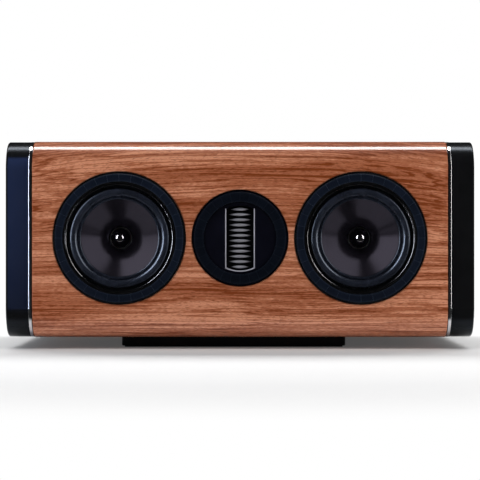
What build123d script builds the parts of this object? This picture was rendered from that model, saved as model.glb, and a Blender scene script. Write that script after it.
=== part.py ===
"""Center channel speaker: walnut wrap, end caps, two woofers, pleated tweeter, plinth.

Millimetres. X runs along the cabinet, the front faces -Y, Z is up and the floor is Z = 0.
"""
import os
from math import cos, radians, sin, sqrt

from build123d import *

# Cabinet
CABINET_LENGTH = 470.0
CABINET_HEIGHT = 224.0
CABINET_DEPTH = 300.0
FRONT_EDGE_RADIUS = 33.0
REAR_EDGE_RADIUS = 5.0
WOOD_EDGE_RADIUS = 1.0
WALL = 18.0
BAFFLE = 22.0
INNER_RADIUS = 12.0
REAR_PANEL = 18.0
REAR_STEP = 8.0
BRACE = 12.0
BRACE_FRAME = 26.0
WADDING = 25.0

# End caps and the bright bands beside them
CAP = 26.0
CAP_INSET = 0.6
CAP_EDGE_RADIUS = 2.5
BAND = 3.2
BAND_INSET = 0.4
BAND_EDGE_RADIUS = 0.35
REVEAL = 0.8
SHOULDER_INSET = 4.5
TENON = 12.0

# Plinth
PLINTH_LENGTH = 259.0
PLINTH_DEPTH = 200.0
PLINTH_HEIGHT = 11.0
PLINTH_SHIFT = -7.4
PLINTH_CORNER_RADIUS = 4.0
PAD = 1.5
PAD_INSET = 3.0

# Woofers
WOOFER_SPACING = 273.0
DRIVER_RISE = 1.5
HOLE_EDGE_RADIUS = 0.8
WOOFER_RING_RADIUS = 72.8
WOOFER_RING_BORE = 64.0
WOOFER_RING_RISE = 2.6
WOOFER_SEGMENTS = 32
BRIGHT_RING = 1.8
BRIGHT_RING_BORE = 59.8
BRIGHT_RING_RISE = 0.8
FLANGE_SEAT = 1.0
FLANGE = 8.0
GASKET = 1.0
LANDING_DEPTH = 6.0
ROLL_WIDTH = 9.8
ROLL_HEIGHT = 4.8
ROLL_OUTER_RADIUS = 57.4
SKIN = 0.8
LIP = 2.8
RIM = 3.6
BEAD = 1.0
CONE_DEPTH = 26.0
CONE_BOW = 2.2
PAPER = 0.9
COIL_RADIUS = 12.0
FORMER = 0.4
WINDING = 0.6
WINDING_LENGTH = 12.0
COIL_LENGTH = 24.0
SPIDER_DEPTH = 38.0
SPIDER_RADIUS = 36.6
SPIDER_WAVES = 5
SPIDER_WAVE_HEIGHT = 1.2
BASKET_LEGS = 6
BASKET_WINDOW_ANGLE = 40.0
BASKET_WALL = 4.5
MOTOR_DEPTH = 45.0
TOP_PLATE = 6.0
TOP_PLATE_RADIUS = 41.0
MAGNET = 17.0
MAGNET_RADIUS = 46.0
MAGNET_BORE = 19.0
BACK_PLATE = 6.0
PLUG_CLEARANCE = 1.0
PLUG_TIP_RADIUS = 6.4
PLUG_NOSE_ANGLE = 35.0
PLUG_TIP_DEPTH = 7.0
WOOFER_SCREWS = 6
WOOFER_SCREW_RADIUS = 2.0
CONE_TRAVEL = 4.0

# Tweeter
TWEETER_RING_RADIUS = 52.2
TWEETER_RING_BORE = 41.0
TWEETER_RING_RISE = 2.6
TWEETER_SEGMENTS = 28
FACEPLATE_FLANGE = 4.0
FACEPLATE_SEAT = 2.0
FACEPLATE_DISC_DEPTH = 0.6
OPENING_WIDTH = 31.1
OPENING_RADIUS = 36.8
BEZEL = 1.2
BEZEL_SLOPE = 0.9
BEZEL_SLOPE_DEPTH = 0.8
PLEATS = 12
PLEAT_WIDTH = 3.6
PLEAT_DEPTH = 6.0
PLEAT_SIDE = 2.65
PLEAT_END = 4.2
FILM = 0.5
PLEAT_FRONT_DEPTH = 2.6
HOUSING_WIDTH = 48.0
HOUSING_HEIGHT = 78.0
HOUSING_DEPTH = 24.0
HOUSING_WALL = 2.0
HOUSING_CORNER_RADIUS = 3.0
POLE_PLATE = 3.0
POLE_SLOTS = 7
REAR_CHAMBER = 25.0
CHAMBER_WALL = 2.5
TWEETER_SCREWS = 4
TWEETER_SCREW_RADIUS = 1.5

# Segmented trim rings, set back from the edge of the flange below them
RING_MARGIN = 2.2
RING_EDGE_RADIUS = 0.8
GROOVE_WIDTH = 0.5
GROOVE_DEPTH = 0.5

# Rear
PORT_SPACING = 300.0
PORT_BORE = 26.0
PORT_WALL = 3.0
PORT_LENGTH = 120.0
PORT_FLARE = 9.0
PORT_FLANGE = 3.0
PORT_FLANGE_RADIUS = 41.0
TERMINAL_LENGTH = 100.0
TERMINAL_HEIGHT = 56.0
TERMINAL_PLATE = 4.0
TERMINAL_CORNER_RADIUS = 6.0
TERMINAL_DROP = 40.0
TERMINAL_MARGIN = 13.0
POST_SPACING = 38.0
STUD_RADIUS = 4.0
STUD_COLLAR = 2.5
STUD_COLLAR_RADIUS = 7.5
STUD_REACH = 22.0
STUD_TAIL = 12.0
SOCKET_RADIUS = 2.0
SOCKET_LENGTH = 16.0
KNOB_RADIUS = 9.0
KNOB_LENGTH = 14.6
KNOB_FLUTES = 12
KNOB_FLUTE_RADIUS = 1.3
NUT = 5.0
NUT_FLATS = 12.0

# Crossover
BOARD_LENGTH = 96.0
BOARD_DEPTH = 140.0
BOARD = 1.6
STANDOFF = 8.0
STANDOFF_RADIUS = 4.0
INDUCTOR_RADIUS = 17.0
INDUCTOR_BORE = 8.0
INDUCTOR_HEIGHT = 20.0
CAPACITOR_RADIUS = 8.0
CAPACITOR_LENGTH = 34.0
RESISTOR_LENGTH = 48.0
RESISTOR_HEIGHT = 9.0

# Clearances
JOINERY_GAP = 0.2
DRIVER_GAP = 0.4
GLUE_GAP = 0.1
MOVING_GAP = 0.4
SCREW_GAP = 0.05
THREAD_GAP = 0.06

# Places that follow from the sizes above
FRONT_Y = -CABINET_DEPTH / 2
REAR_Y = CABINET_DEPTH / 2
PLINTH_TOP = PAD + PLINTH_HEIGHT
CABINET_MIDDLE = PLINTH_TOP + CABINET_HEIGHT / 2
FLOOR_INSIDE = PLINTH_TOP + WALL
DRIVER_HEIGHT = CABINET_MIDDLE + DRIVER_RISE
WOOFER_X = WOOFER_SPACING / 2
WOOD_END = CABINET_LENGTH / 2
CAP_START = WOOD_END + REVEAL + BAND
CAP_END = CAP_START + CAP
FLANGE_RADIUS = WOOFER_RING_RADIUS + RING_MARGIN
WOOFER_REBATE = FLANGE_SEAT + FLANGE + GASKET
WOOFER_CUTOUT = FLANGE_RADIUS - 10.0
WOOFER_SCREW_CIRCLE = (WOOFER_CUTOUT + WOOFER_RING_RADIUS) / 2
ROLL_INNER_RADIUS = ROLL_OUTER_RADIUS - ROLL_WIDTH
CONE_RADIUS = ROLL_INNER_RADIUS - RIM
FORMER_RADIUS = COIL_RADIUS + FORMER
WINDING_RADIUS = FORMER_RADIUS + WINDING
POLE_RADIUS = COIL_RADIUS - MOVING_GAP
PLUG_RADIUS = COIL_RADIUS - PLUG_CLEARANCE
CONE_RIM_Z = -LANDING_DEPTH - MOVING_GAP
CONE_NECK_Z = CONE_RIM_Z - CONE_DEPTH
COIL_FRONT_Z = CONE_NECK_Z + 2 * PAPER
MAGNET_FRONT_Z = -MOTOR_DEPTH - TOP_PLATE
MAGNET_REAR_Z = MAGNET_FRONT_Z - MAGNET
TWEETER_REBATE = FACEPLATE_SEAT + FACEPLATE_FLANGE
FACEPLATE_RADIUS = TWEETER_RING_RADIUS + RING_MARGIN
TWEETER_CUTOUT = FACEPLATE_RADIUS - 8.0
TWEETER_SCREW_CIRCLE = (TWEETER_CUTOUT + TWEETER_RING_RADIUS) / 2
HOUSING_REAR_Z = -TWEETER_REBATE - HOUSING_DEPTH
OPENING_CORNER = sqrt(OPENING_RADIUS**2 - (OPENING_WIDTH / 2) ** 2)
PLEAT_PITCH = 2 * (OPENING_RADIUS - PLEAT_END) / (PLEATS - 1)
PLEAT_Z = -PLEAT_FRONT_DEPTH - PLEAT_WIDTH / 2
BRACE_X = (TWEETER_CUTOUT + WOOFER_X - WOOFER_CUTOUT) / 2
TERMINAL_Z = CABINET_MIDDLE - TERMINAL_DROP
BOARD_TOP = FLOOR_INSIDE + STANDOFF + BOARD
BOARD_Y = FRONT_Y + BAFFLE + CABINET_DEPTH / 2


def turned(edges):
    """Solid turned about Z from a closed outline drawn with radius along X and height along Y."""
    return revolve(Plane.XZ * make_face(edges), Axis.Z)


def ring(bore, radius, bottom, top):
    """Straight ring, or a disc where the bore is zero, between two heights on Z."""
    return turned(Polyline((bore, bottom), (radius, bottom), (radius, top), (bore, top), close=True))


def around(part, count, start=0.0):
    """Copies of a part turned evenly about Z."""
    return [Rot(0, 0, start + 360.0 * i / count) * part for i in range(count)]


def on_front(part, x):
    """Place a part whose +Z points out of the front, on a driver axis."""
    return Pos(x, FRONT_Y, DRIVER_HEIGHT) * Rot(90, 0, 0) * part


def on_rear(part, x, z):
    """Place a part whose +Z points out of the rear panel."""
    return Pos(x, REAR_Y, z) * Rot(-90, 0, 0) * part


def slab(sketch, start, end):
    """Side outline run along X from start to end."""
    return extrude(Pos(start, 0, 0) * sketch, amount=end - start)


def mirrored(part):
    """The same part on the other end of the cabinet."""
    return mirror(part, about=Plane.YZ)


def countersunk_screw(radius, length):
    """Wood screw along -Z with its flat head flush at Z = 0."""
    head = 1.8 * radius
    slope = head - radius
    tip = radius
    body = Polyline((0, 0), (head, 0), (radius, -slope), (radius, tip - length), (0, -length), close=True)
    slot = Box(1.4 * head, 0.3 * radius, 0.6 * radius)
    return turned(body) - slot


def countersunk_hole(radius, length):
    """Clearance for that screw, as a cutter."""
    grown = radius + SCREW_GAP
    head = 1.8 * radius + 2 * SCREW_GAP
    slope = head - grown
    return turned(Polyline((0, 0), (head, 0), (grown, -slope), (grown, -length), (0, -length), close=True))


def cabinet_outline(inset):
    """Side outline of the cabinet, brought in all round, with the large radius on the front edges."""
    sheet = Rectangle(CABINET_DEPTH - 2 * inset, CABINET_HEIGHT - 2 * inset)
    sheet = fillet(sheet.vertices().group_by(Axis.X)[0], FRONT_EDGE_RADIUS - inset)
    sheet = fillet(sheet.vertices().group_by(Axis.X)[-1], REAR_EDGE_RADIUS - inset)
    return Plane.YZ * Pos(0, CABINET_MIDDLE) * sheet


def cavity_outline(gap):
    """Side outline of the space inside the walls, ahead of the rear panel."""
    depth = CABINET_DEPTH - BAFFLE - REAR_PANEL - 2 * gap
    sheet = Rectangle(depth, CABINET_HEIGHT - 2 * (WALL + gap))
    sheet = fillet(sheet.vertices().group_by(Axis.X)[0], INNER_RADIUS)
    return Plane.YZ * Pos((BAFFLE - REAR_PANEL) / 2, CABINET_MIDDLE) * sheet


def woofer_screw_cutters():
    """Pilot holes of one woofer, about its axis."""
    hole = Pos(WOOFER_SCREW_CIRCLE, 0, -FLANGE_SEAT) * countersunk_hole(WOOFER_SCREW_RADIUS, BAFFLE - 2)
    return around(hole, WOOFER_SCREWS)


def tweeter_screw_cutters():
    """Pilot holes of the tweeter, about its axis."""
    hole = Pos(TWEETER_SCREW_CIRCLE, 0, -FACEPLATE_SEAT) * countersunk_hole(TWEETER_SCREW_RADIUS, BAFFLE - 4)
    return around(hole, TWEETER_SCREWS, 45)


def plinth_screw_places():
    """Where the plinth is screwed to the cabinet floor."""
    places = GridLocations(PLINTH_LENGTH - 60, PLINTH_DEPTH - 50, 2, 2)
    return [Pos(PLINTH_SHIFT, 0, PAD) * place * Rot(180, 0, 0) for place in places]


def driver_hole(radius, rebate, cutout):
    """Stepped hole for a driver with a rounded front edge, as a cutter."""
    wall = Polyline((0, 0), (0, -rebate), (radius, -rebate), (radius, -HOLE_EDGE_RADIUS))
    edge = TangentArc((radius, -HOLE_EDGE_RADIUS), (radius + HOLE_EDGE_RADIUS, 0), tangent=(0, 1))
    front = Line((radius + HOLE_EDGE_RADIUS, 0), (0, 0))
    return turned([wall, edge, front]) + ring(0, cutout, -BAFFLE, 0)


def cabinet_wrap():
    """Front, top and bottom as one wrapped shell, open at the ends and at the rear."""
    body = slab(cabinet_outline(0), -WOOD_END, WOOD_END)
    ends = body.faces().sort_by(Axis.X)[0].edges() + body.faces().sort_by(Axis.X)[-1].edges()
    body = fillet(ends, WOOD_EDGE_RADIUS)
    body -= slab(cavity_outline(0), -WOOD_END, WOOD_END)
    opening = CABINET_HEIGHT - 2 * (WALL - REAR_STEP)
    body -= Pos(0, REAR_Y - REAR_PANEL, CABINET_MIDDLE) * Box(
        CABINET_LENGTH, REAR_PANEL, opening, align=(Align.CENTER, Align.MIN, Align.CENTER)
    )
    woofer_hole = driver_hole(FLANGE_RADIUS + DRIVER_GAP, WOOFER_REBATE, WOOFER_CUTOUT)
    tweeter_hole = driver_hole(FACEPLATE_RADIUS + DRIVER_GAP, TWEETER_REBATE, TWEETER_CUTOUT)
    for x in (-WOOFER_X, WOOFER_X):
        body -= on_front(woofer_hole, x)
        body -= [on_front(hole, x) for hole in woofer_screw_cutters()]
    body -= on_front(tweeter_hole, 0)
    body -= [on_front(hole, 0) for hole in tweeter_screw_cutters()]
    pilot = countersunk_hole(WOOFER_SCREW_RADIUS, PLINTH_HEIGHT + WALL - 3)
    return body - [place * pilot for place in plinth_screw_places()]


def rear_panel():
    """Flat panel on the step at the rear, with holes for both ports and the terminals."""
    height = CABINET_HEIGHT - 2 * (WALL - REAR_STEP + JOINERY_GAP)
    panel = Box(CABINET_LENGTH, REAR_PANEL, height, align=(Align.CENTER, Align.MAX, Align.CENTER))
    panel = Pos(0, REAR_Y, CABINET_MIDDLE) * panel
    port_hole = ring(0, PORT_BORE + PORT_WALL + JOINERY_GAP, -REAR_PANEL, 0)
    for x in (-PORT_SPACING / 2, PORT_SPACING / 2):
        panel -= on_rear(port_hole, x, CABINET_MIDDLE)
    window = RectangleRounded(
        TERMINAL_LENGTH - 2 * TERMINAL_MARGIN, TERMINAL_HEIGHT - 2 * TERMINAL_MARGIN, TERMINAL_CORNER_RADIUS
    )
    panel -= on_rear(extrude(window, amount=-REAR_PANEL), 0, TERMINAL_Z)
    return panel - [on_rear(hole, 0, TERMINAL_Z) for hole in terminal_screw_parts(countersunk_hole)]


def right_end_cap():
    """End panel with a soft outer edge, a recessed shoulder for the band and a tenon in the cabinet."""
    panel = slab(cabinet_outline(CAP_INSET), CAP_START, CAP_END)
    panel = fillet(panel.faces().sort_by(Axis.X)[-1].edges(), CAP_EDGE_RADIUS)
    shoulder = slab(cabinet_outline(SHOULDER_INSET), WOOD_END, CAP_START)
    tenon = slab(cavity_outline(JOINERY_GAP), WOOD_END - TENON, WOOD_END)
    return panel + shoulder + tenon


def right_trim_band():
    """Bright loop round the shoulder of the cap, flat in front and rounded beside the cap."""
    start = CAP_START - BAND
    band = slab(cabinet_outline(BAND_INSET), start, CAP_START)
    band = fillet(band.faces().sort_by(Axis.X)[-1].edges(), BAND_EDGE_RADIUS)
    return band - slab(cabinet_outline(SHOULDER_INSET - GLUE_GAP), start, CAP_START)


def right_brace():
    """Window brace between woofer and tweeter, tight inside the walls."""
    brace = slab(cavity_outline(JOINERY_GAP), BRACE_X - BRACE / 2, BRACE_X + BRACE / 2)
    depth = CABINET_DEPTH - BAFFLE - REAR_PANEL - 2 * BRACE_FRAME
    height = CABINET_HEIGHT - 2 * (WALL + BRACE_FRAME)
    window = RectangleRounded(depth, height, INNER_RADIUS)
    window = Plane.YZ * Pos((BAFFLE - REAR_PANEL) / 2, CABINET_MIDDLE) * window
    return brace - slab(window, BRACE_X - BRACE / 2, BRACE_X + BRACE / 2)


def wadding():
    """Two soft pads under the roof of the outer bays."""
    start = BRACE_X + BRACE
    end = WOOD_END - TENON - BRACE
    pad = Box(end - start, CABINET_DEPTH / 2, WADDING, align=(Align.MIN, Align.CENTER, Align.MAX))
    pad = fillet(pad.edges().filter_by(Axis.Z), INNER_RADIUS)
    pad = Pos(start, 0, PLINTH_TOP + CABINET_HEIGHT - WALL - GLUE_GAP) * pad
    return Part() + [pad, mirrored(pad)]


def plinth():
    """Low bar under the cabinet with rounded corners and countersunk holes from below."""
    sheet = RectangleRounded(PLINTH_LENGTH, PLINTH_DEPTH, PLINTH_CORNER_RADIUS)
    bar = Pos(PLINTH_SHIFT, 0, PAD) * extrude(sheet, amount=PLINTH_HEIGHT)
    bar = chamfer(bar.faces().sort_by(Axis.Z)[0].edges(), PAD / 2)
    cutter = countersunk_hole(WOOFER_SCREW_RADIUS, PLINTH_HEIGHT + WALL)
    return bar - [place * cutter for place in plinth_screw_places()]


def plinth_pad():
    """Thin rubber sheet that the speaker stands on."""
    sheet = RectangleRounded(PLINTH_LENGTH - 2 * PAD_INSET, PLINTH_DEPTH - 2 * PAD_INSET, PLINTH_CORNER_RADIUS)
    return Pos(PLINTH_SHIFT, 0, 0) * extrude(sheet, amount=PAD)


def plinth_screws():
    """Four screws up through the plinth into the cabinet floor."""
    screw = countersunk_screw(WOOFER_SCREW_RADIUS, PLINTH_HEIGHT + WALL - 4)
    return Part() + [place * screw for place in plinth_screw_places()]


def segmented_ring(bore, radius, seat, rise, segments):
    """Trim ring with a rounded edge and fine radial grooves that part it into segments."""
    top = radius - RING_EDGE_RADIUS
    edge = Polyline((bore, -seat), (radius, -seat), (radius, rise - RING_EDGE_RADIUS))
    shoulder = TangentArc((radius, rise - RING_EDGE_RADIUS), (top, rise), tangent=(0, 1))
    inner = bore + GROOVE_WIDTH
    face = Polyline((top, rise), (inner, rise), (bore, rise - GROOVE_WIDTH), (bore, -seat))
    body = turned([edge, shoulder, face])
    groove = Box(top - bore, GROOVE_WIDTH, GROOVE_DEPTH, align=(Align.MIN, Align.CENTER, Align.MAX))
    groove = Pos(bore - GROOVE_WIDTH, 0, rise) * groove
    return body - around(groove, segments)


def bright_ring():
    """Polished ring with a half round front, a little inside the trim ring."""
    radius = BRIGHT_RING_BORE + BRIGHT_RING
    half = BRIGHT_RING / 2
    low = BRIGHT_RING_RISE - half
    middle = BRIGHT_RING_BORE + half
    sides = Polyline((BRIGHT_RING_BORE, low), (BRIGHT_RING_BORE, -FLANGE_SEAT), (radius, -FLANGE_SEAT), (radius, low))
    bead = ThreePointArc((radius, low), (middle, BRIGHT_RING_RISE), (BRIGHT_RING_BORE, low))
    return turned([sides, bead])


def basket():
    """Cast frame: flange, landing for the surround, open legs, ledge for the spider, motor ring."""
    flange_rear = -FLANGE_SEAT - FLANGE
    landing_bore = ROLL_OUTER_RADIUS - LIP
    wall_radius = WOOFER_CUTOUT - 1.0
    waist = SPIDER_RADIUS + BASKET_WALL
    outline = Polyline(
        (BRIGHT_RING_BORE, -FLANGE_SEAT),
        (FLANGE_RADIUS, -FLANGE_SEAT),
        (FLANGE_RADIUS, flange_rear),
        (wall_radius, flange_rear),
        (wall_radius, flange_rear - BASKET_WALL),
        (waist, -SPIDER_DEPTH),
        (waist, -MOTOR_DEPTH),
        (TOP_PLATE_RADIUS / 2, -MOTOR_DEPTH),
        (TOP_PLATE_RADIUS / 2, -MOTOR_DEPTH + BASKET_WALL / 2),
        (SPIDER_RADIUS - LIP, -MOTOR_DEPTH + BASKET_WALL / 2),
        (SPIDER_RADIUS - LIP, -SPIDER_DEPTH),
        (SPIDER_RADIUS + GLUE_GAP, -SPIDER_DEPTH),
        (SPIDER_RADIUS + GLUE_GAP, -SPIDER_DEPTH + BASKET_WALL / 2),
        (wall_radius - BASKET_WALL, flange_rear - BASKET_WALL / 2),
        (wall_radius - BASKET_WALL, flange_rear),
        (landing_bore, flange_rear),
        (landing_bore, -LANDING_DEPTH),
        (BRIGHT_RING_BORE, -LANDING_DEPTH),
        close=True,
    )
    body = turned(outline)
    window = Polyline(
        (SPIDER_RADIUS, flange_rear - BASKET_WALL),
        (FLANGE_RADIUS, flange_rear - BASKET_WALL),
        (FLANGE_RADIUS, -SPIDER_DEPTH + BASKET_WALL),
        (SPIDER_RADIUS, -SPIDER_DEPTH + BASKET_WALL),
        close=True,
    )
    cutter = revolve(Plane.XZ * make_face(window), Axis.Z, revolution_arc=BASKET_WINDOW_ANGLE)
    body -= around(cutter, BASKET_LEGS, -BASKET_WINDOW_ANGLE / 2)
    return body - woofer_screw_cutters()


def woofer_gasket():
    """Foam ring between the flange and the rebate."""
    rear = -WOOFER_REBATE
    return ring(WOOFER_CUTOUT, FLANGE_RADIUS, rear, rear + GASKET) - woofer_screw_cutters()


def surround():
    """Rubber half roll with a flat lip on the landing and a beaded one on the rim of the cone."""
    low = -LANDING_DEPTH
    high = low + SKIN
    outer = ROLL_OUTER_RADIUS
    inner = ROLL_INNER_RADIUS
    middle = (outer + inner) / 2
    crest = high + ROLL_HEIGHT
    outer_lip = BRIGHT_RING_BORE - GLUE_GAP
    bead_start = inner - SKIN
    crown = ThreePointArc((inner, high), (middle, crest), (outer, high))
    outer_end = Polyline((outer, high), (outer_lip, high), (outer_lip, low), (outer - SKIN, low))
    hollow = ThreePointArc((outer - SKIN, low), (middle, crest - SKIN), (inner + SKIN, low))
    inner_end = Polyline((inner + SKIN, low), (CONE_RADIUS, low), (CONE_RADIUS, high))
    bead = ThreePointArc((CONE_RADIUS, high), ((CONE_RADIUS + bead_start) / 2, high + BEAD), (bead_start, high))
    return turned([crown, outer_end, hollow, inner_end, bead, Line((bead_start, high), (inner, high))])


def cone():
    """Curved cone with a flat rim under the surround, down to the neck on the voice coil."""
    rim = ROLL_INNER_RADIUS
    neck = FORMER_RADIUS + GLUE_GAP
    middle = (CONE_RADIUS + neck) / 2 + CONE_BOW
    middle_z = (CONE_RIM_Z + CONE_NECK_Z) / 2 - CONE_BOW
    front = ThreePointArc((CONE_RADIUS, CONE_RIM_Z), (middle, middle_z), (neck, CONE_NECK_Z))
    neck_edge = Line((neck, CONE_NECK_Z), (neck, CONE_NECK_Z - PAPER))
    back = ThreePointArc((neck, CONE_NECK_Z - PAPER), (middle, middle_z - PAPER), (CONE_RADIUS, CONE_RIM_Z - PAPER))
    flat = Polyline(
        (CONE_RADIUS, CONE_RIM_Z - PAPER), (rim, CONE_RIM_Z - PAPER), (rim, CONE_RIM_Z), (CONE_RADIUS, CONE_RIM_Z)
    )
    return turned([front, neck_edge, back, flat])


def voice_coil():
    """Thin former with the winding at its rear end."""
    rear = COIL_FRONT_Z - COIL_LENGTH
    former = ring(COIL_RADIUS, FORMER_RADIUS, rear, COIL_FRONT_Z)
    return former + ring(FORMER_RADIUS, WINDING_RADIUS, rear, rear + WINDING_LENGTH)


def phase_plug():
    """Fixed bullet on the pole: straight base, long side arc, and a round tip centred on the axis."""
    turn = radians(PLUG_NOSE_ANGLE)
    side_radius = (PLUG_RADIUS - PLUG_TIP_RADIUS * cos(turn)) / (1 - cos(turn))
    straight = -PLUG_TIP_DEPTH - side_radius * sin(turn) - PLUG_TIP_RADIUS * (1 - sin(turn))
    base = Polyline((0, -PLUG_TIP_DEPTH), (0, -MOTOR_DEPTH), (PLUG_RADIUS, -MOTOR_DEPTH), (PLUG_RADIUS, straight))
    side = JernArc((PLUG_RADIUS, straight), (0, 1), side_radius, PLUG_NOSE_ANGLE)
    tip = TangentArc(side @ 1, (0, -PLUG_TIP_DEPTH), tangent=side % 1)
    return turned([base, side, tip])


def spider():
    """Corrugated ring that centres the voice coil, flat where it is glued to its ledge."""
    bore = FORMER_RADIUS + MOVING_GAP
    start = SPIDER_RADIUS - LIP
    pitch = (start - bore) / SPIDER_WAVES
    low = -SPIDER_DEPTH
    front = [(SPIDER_RADIUS, low + SKIN), (start, low + SKIN)]
    back = [(start, low), (SPIDER_RADIUS, low)]
    for i in range(SPIDER_WAVES):
        left = start - pitch * (i + 1)
        front += [(left + 0.75 * pitch, low + SKIN + SPIDER_WAVE_HEIGHT), (left + 0.25 * pitch, low + SKIN)]
        back = [(left + 0.25 * pitch, low), (left + 0.75 * pitch, low + SPIDER_WAVE_HEIGHT)] + back
    front.append((bore, low + SKIN))
    back.insert(0, (bore, low))
    return turned(Polyline(*front, *back, close=True))


def yoke():
    """Back plate and pole turned as one piece."""
    return ring(0, TOP_PLATE_RADIUS, MAGNET_REAR_Z - BACK_PLATE, MAGNET_REAR_Z) + ring(
        0, POLE_RADIUS, MAGNET_REAR_Z, -MOTOR_DEPTH
    )


def woofer_screw():
    """One fixing screw of a woofer, on its circle."""
    return Pos(WOOFER_SCREW_CIRCLE, 0, -FLANGE_SEAT) * countersunk_screw(WOOFER_SCREW_RADIUS, BAFFLE - 3)


def woofer_parts():
    """The pieces of one woofer about its own axis, by name."""
    top_plate_bore = WINDING_RADIUS + MOVING_GAP
    return {
        "trim_ring": segmented_ring(
            WOOFER_RING_BORE, WOOFER_RING_RADIUS, FLANGE_SEAT, WOOFER_RING_RISE, WOOFER_SEGMENTS
        ),
        "bright_ring": bright_ring(),
        "basket": basket(),
        "surround": surround(),
        "cone": cone(),
        "phase_plug": phase_plug(),
        "spider": spider(),
        "voice_coil": voice_coil(),
        "top_plate": ring(top_plate_bore, TOP_PLATE_RADIUS, MAGNET_FRONT_Z, -MOTOR_DEPTH),
        "magnet": ring(MAGNET_BORE, MAGNET_RADIUS, MAGNET_REAR_Z, MAGNET_FRONT_Z),
        "yoke": yoke(),
    }


def opening_outline(grow):
    """Tweeter opening: a circle cut off by two upright sides."""
    return Circle(OPENING_RADIUS + grow) & Rectangle(OPENING_WIDTH + 2 * grow, 4 * OPENING_RADIUS)


def bezel_outline(grow):
    """The sides and the bottom of the opening that the bright liner covers, open at the top."""
    below = Rectangle(4 * OPENING_RADIUS, 4 * OPENING_RADIUS, align=(Align.CENTER, Align.MAX))
    return opening_outline(BEZEL + grow) & Pos(0, OPENING_CORNER + grow) * below


def tweeter_faceplate():
    """Round plate with a raised middle disc and the tall opening."""
    plate = ring(0, FACEPLATE_RADIUS, -TWEETER_REBATE, -FACEPLATE_SEAT)
    plate += ring(0, TWEETER_RING_BORE - DRIVER_GAP, -FACEPLATE_SEAT, -FACEPLATE_DISC_DEPTH)
    opening = opening_outline(0) + bezel_outline(GLUE_GAP)
    plate -= Pos(0, 0, -TWEETER_REBATE) * extrude(opening, amount=TWEETER_REBATE)
    return plate - tweeter_screw_cutters()


def tweeter_bezel():
    """Bright liner on the sides and bottom of the opening, with a sloping front edge."""
    height = TWEETER_REBATE - FACEPLATE_DISC_DEPTH
    liner = extrude(opening_outline(BEZEL), amount=height)
    liner -= extrude(opening_outline(0), amount=height)
    front = liner.faces().sort_by(Axis.Z)[-1]
    liner = chamfer(front.inner_wires()[0].edges(), BEZEL_SLOPE, BEZEL_SLOPE_DEPTH, reference=front)
    liner &= extrude(bezel_outline(0), amount=height)
    return Pos(0, 0, -TWEETER_REBATE) * liner


def pleat_places():
    """Height of each pleat in the opening and half its length."""
    reach = OPENING_RADIUS - PLEAT_SIDE
    heights = [PLEAT_PITCH * (i - (PLEATS - 1) / 2) for i in range(PLEATS)]
    return [(y, min(OPENING_WIDTH / 2 - PLEAT_SIDE, sqrt(reach**2 - y**2))) for y in heights]


def leaf(half_length, inset):
    """Lens shaped fold of the film: a round spindle in front, upright walls behind, brought in by inset."""
    half_width = PLEAT_WIDTH / 2
    radius = (half_length**2 + half_width**2) / (2 * half_width)
    width = half_width - inset
    length = sqrt((radius - inset) ** 2 - (radius - half_width) ** 2)
    upper = ThreePointArc((-length, 0), (0, width), (length, 0))
    lower = ThreePointArc((length, 0), (0, -width), (-length, 0))
    spindle = revolve(make_face([upper, Line((length, 0), (-length, 0))]), Axis.X, revolution_arc=180)
    return spindle + extrude(make_face([upper, lower]), amount=-PLEAT_DEPTH)


def tweeter_diaphragm():
    """Film across the opening, folded into a stack of lens shaped pleats."""
    film = Pos(0, 0, -PLEAT_DEPTH) * extrude(opening_outline(-JOINERY_GAP), amount=FILM)
    for y, half_length in pleat_places():
        film += Pos(0, y, 0) * leaf(half_length, 0)
    for y, half_length in pleat_places():
        film -= Pos(0, y, 0) * leaf(half_length, FILM)
    return Pos(0, 0, PLEAT_Z) * film


def tweeter_housing():
    """Steel frame behind the faceplate that holds the magnets."""
    outer = RectangleRounded(HOUSING_WIDTH, HOUSING_HEIGHT, HOUSING_CORNER_RADIUS)
    inner = Rectangle(HOUSING_WIDTH - 2 * HOUSING_WALL, HOUSING_HEIGHT - 2 * HOUSING_WALL)
    return Pos(0, 0, HOUSING_REAR_Z) * extrude(outer - inner, amount=HOUSING_DEPTH)


def tweeter_magnets():
    """Bar magnets on both sides of the film."""
    side = OPENING_WIDTH / 2 + JOINERY_GAP
    width = HOUSING_WIDTH / 2 - HOUSING_WALL - GLUE_GAP - side
    height = HOUSING_HEIGHT - 2 * (HOUSING_WALL + GLUE_GAP)
    bar = Box(width, height, HOUSING_DEPTH - HOUSING_WALL, align=(Align.MIN, Align.CENTER, Align.MIN))
    bar = Pos(side, 0, HOUSING_REAR_Z) * bar
    return Part() + [bar, mirrored(bar)]


def tweeter_pole_plate():
    """Slotted steel plate across the rear of the housing."""
    sheet = RectangleRounded(HOUSING_WIDTH, HOUSING_HEIGHT, HOUSING_CORNER_RADIUS)
    pitch = (HOUSING_HEIGHT - 4 * HOUSING_WALL) / POLE_SLOTS
    slot = SlotOverall(OPENING_WIDTH, pitch / 2)
    sheet -= [place * slot for place in GridLocations(0, pitch, 1, POLE_SLOTS)]
    return Pos(0, 0, HOUSING_REAR_Z) * extrude(sheet, amount=-POLE_PLATE)


def tweeter_rear_chamber():
    """Moulded cup that closes the tweeter at the rear."""
    outer = RectangleRounded(HOUSING_WIDTH, HOUSING_HEIGHT, HOUSING_CORNER_RADIUS)
    inner = Rectangle(HOUSING_WIDTH - 2 * CHAMBER_WALL, HOUSING_HEIGHT - 2 * CHAMBER_WALL)
    cup = extrude(outer, amount=-REAR_CHAMBER)
    cup = fillet(cup.faces().sort_by(Axis.Z)[0].edges(), HOUSING_CORNER_RADIUS / 2)
    cup -= extrude(inner, amount=CHAMBER_WALL - REAR_CHAMBER)
    return Pos(0, 0, HOUSING_REAR_Z - POLE_PLATE) * cup


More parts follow.
